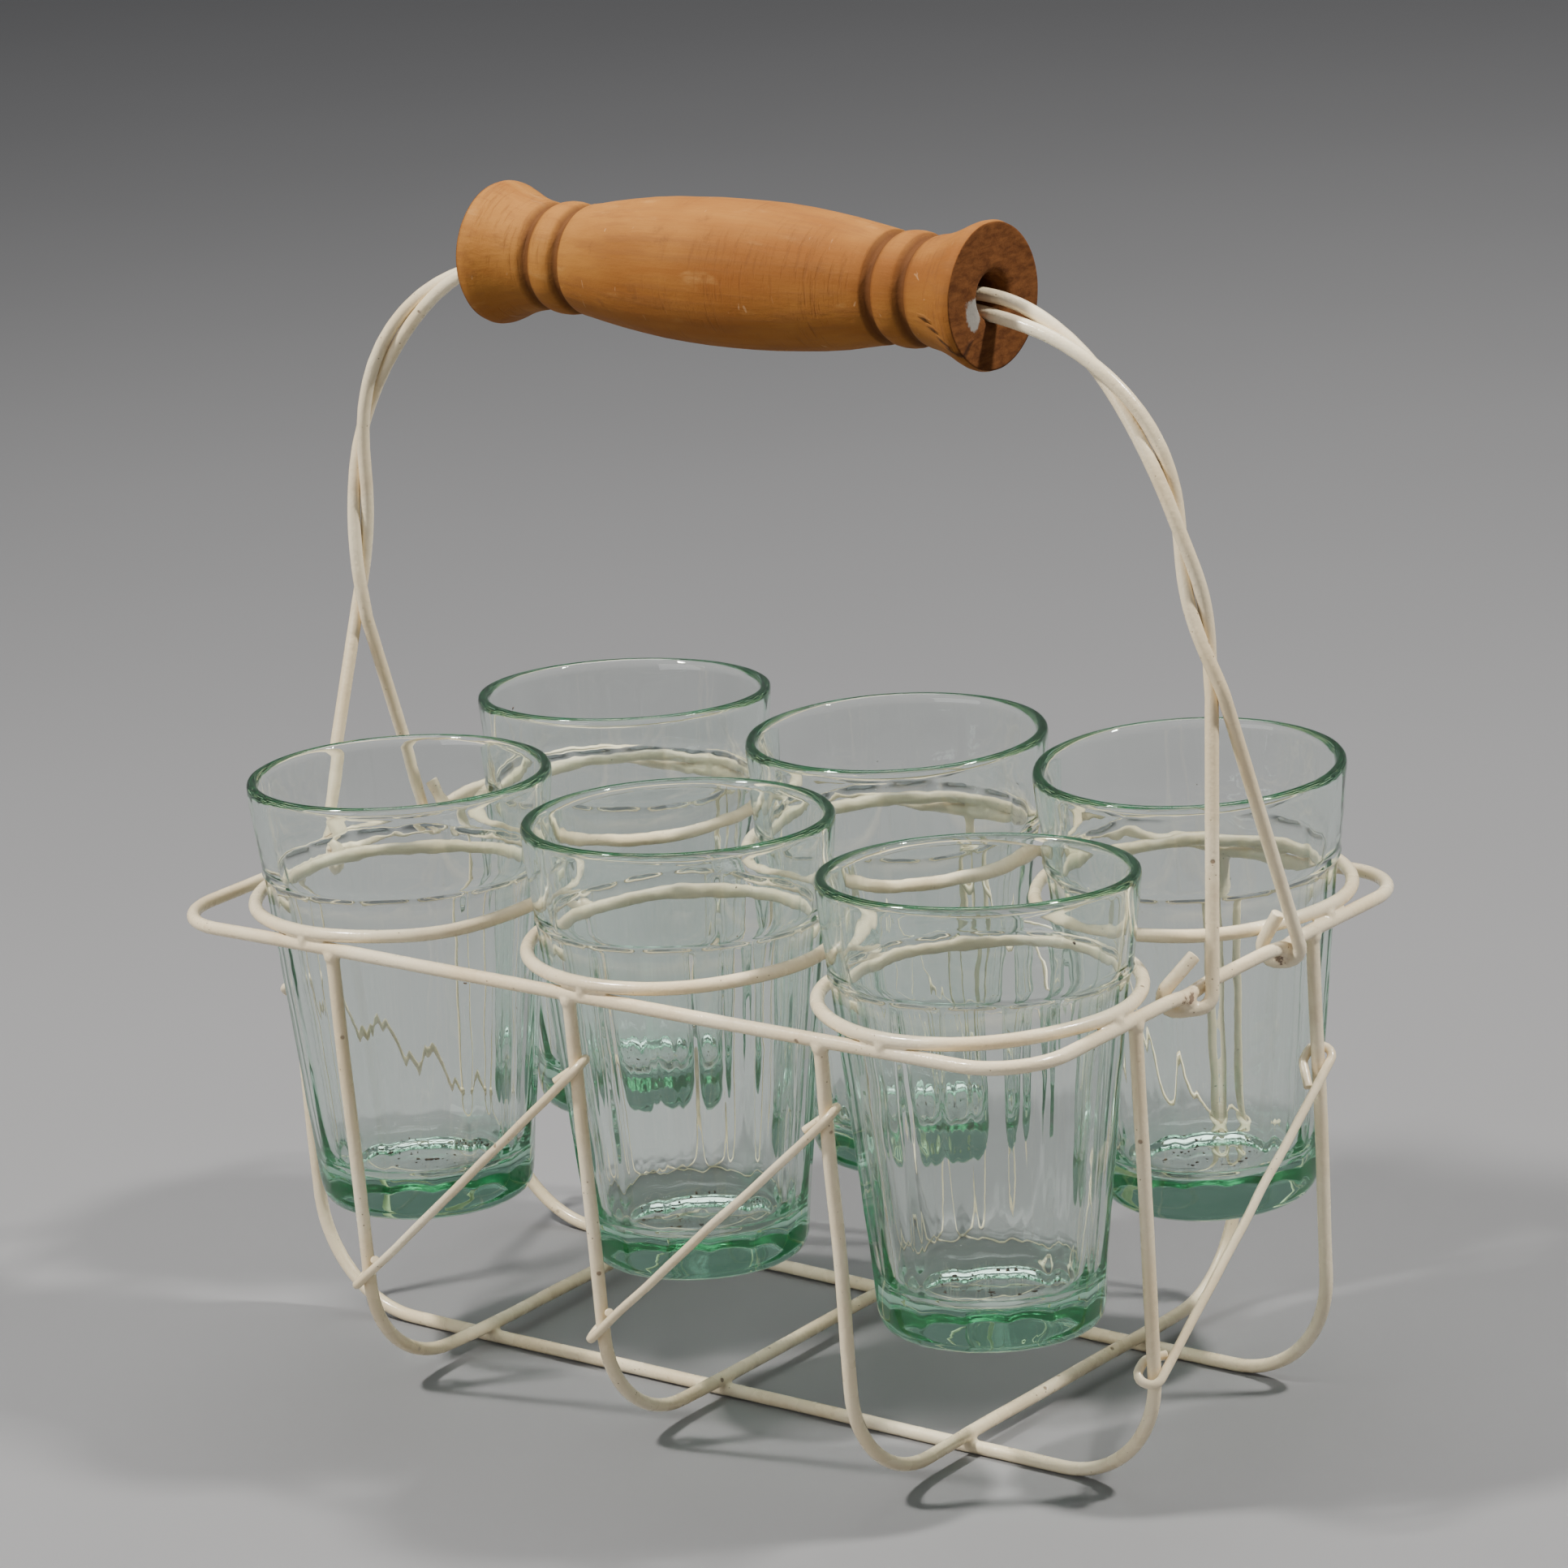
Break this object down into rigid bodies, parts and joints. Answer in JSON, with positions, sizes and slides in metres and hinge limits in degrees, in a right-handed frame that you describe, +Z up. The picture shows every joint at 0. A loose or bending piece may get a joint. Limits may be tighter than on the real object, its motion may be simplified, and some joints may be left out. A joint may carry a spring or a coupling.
{
  "type": "glass carrier",
  "caption": "Open wire carrier holding ribbed tea glasses in rings, with a turned wooden grip on a twisted wire bail.",
  "frame": {"origin": "on the floor, at the middle of the carrier's box", "axes": "+X along the rows of three glasses, +Y from the front row to the back row, +Z up"},
  "size_m": [0.2496, 0.1522, 0.2628],
  "materials": {
    "painted_wire": "glossy cream brush paint, chipped and speckled",
    "turned_wood": "bare turned wood, lightly polished by use",
    "green_glass": "clear pressed glass with a pale green tint"
  },
  "bodies": {
    "frame": {"top_rim": "painted_wire", "glass_ring_1": "painted_wire", "glass_ring_2": "painted_wire", "glass_ring_3": "painted_wire", "glass_ring_4": "painted_wire", "glass_ring_5": "painted_wire", "glass_ring_6": "painted_wire", "ring_link_front_a": "painted_wire", "ring_link_front_b": "painted_wire", "ring_link_back_a": "painted_wire", "ring_link_back_b": "painted_wire", "cross_wire_left": "painted_wire", "cross_wire_middle": "painted_wire", "cross_wire_right": "painted_wire", "long_wire_front": "painted_wire", "long_wire_back": "painted_wire", "brace_front_left": "painted_wire", "brace_front_right": "painted_wire", "brace_back_left": "painted_wire", "brace_back_right": "painted_wire", "brace_end_left": "painted_wire", "brace_end_right": "painted_wire", "bail_wire_a": "painted_wire", "bail_wire_b": "painted_wire"},
    "grip": {"grip": "turned_wood"},
    "glass_1": {"glass_1": "green_glass"},
    "glass_2": {"glass_2": "green_glass"},
    "glass_3": {"glass_3": "green_glass"},
    "glass_4": {"glass_4": "green_glass"},
    "glass_5": {"glass_5": "green_glass"},
    "glass_6": {"glass_6": "green_glass"}
  },
  "joints": [
    {"name": "grip_spin", "type": "hinge", "parent": "frame", "child": "grip", "pos_m": [0.0025, 0, 0.24685], "axis": [1, 0, 0], "continuous": true},
    {"name": "glass_1_lift", "type": "slide", "parent": "frame", "child": "glass_1", "axis": [0, 0, 1], "range_m": [0, 0.085]},
    {"name": "glass_2_lift", "type": "slide", "parent": "frame", "child": "glass_2", "axis": [0, 0, 1], "range_m": [0, 0.085]},
    {"name": "glass_3_lift", "type": "slide", "parent": "frame", "child": "glass_3", "axis": [0, 0, 1], "range_m": [0, 0.085]},
    {"name": "glass_4_lift", "type": "slide", "parent": "frame", "child": "glass_4", "axis": [0, 0, 1], "range_m": [0, 0.085]},
    {"name": "glass_5_lift", "type": "slide", "parent": "frame", "child": "glass_5", "axis": [0, 0, 1], "range_m": [0, 0.085]},
    {"name": "glass_6_lift", "type": "slide", "parent": "frame", "child": "glass_6", "axis": [0, 0, 1], "range_m": [0, 0.085]}
  ]
}
